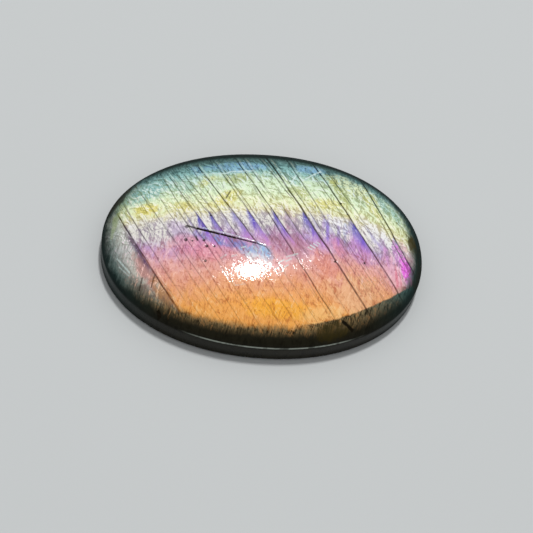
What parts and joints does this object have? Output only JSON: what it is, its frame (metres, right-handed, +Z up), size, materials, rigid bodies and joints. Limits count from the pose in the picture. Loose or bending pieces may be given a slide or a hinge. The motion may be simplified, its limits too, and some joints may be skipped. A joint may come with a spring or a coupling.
{
  "type": "labradorite cabochon",
  "caption": "Oval labradorite cabochon: a flat-backed polished stone with a low side wall and a domed face that flashes in coloured bands.",
  "frame": {"origin": "the middle of the flat back, on the surface that the stone rests on", "axes": "+X along the oval's long axis, +Y across it, +Z up through the top of the dome"},
  "size_m": [0.041, 0.0286, 0.0079],
  "materials": {
    "labradorite": "polished"
  },
  "bodies": {
    "root": {"cabochon": "labradorite"}
  },
  "joints": []
}
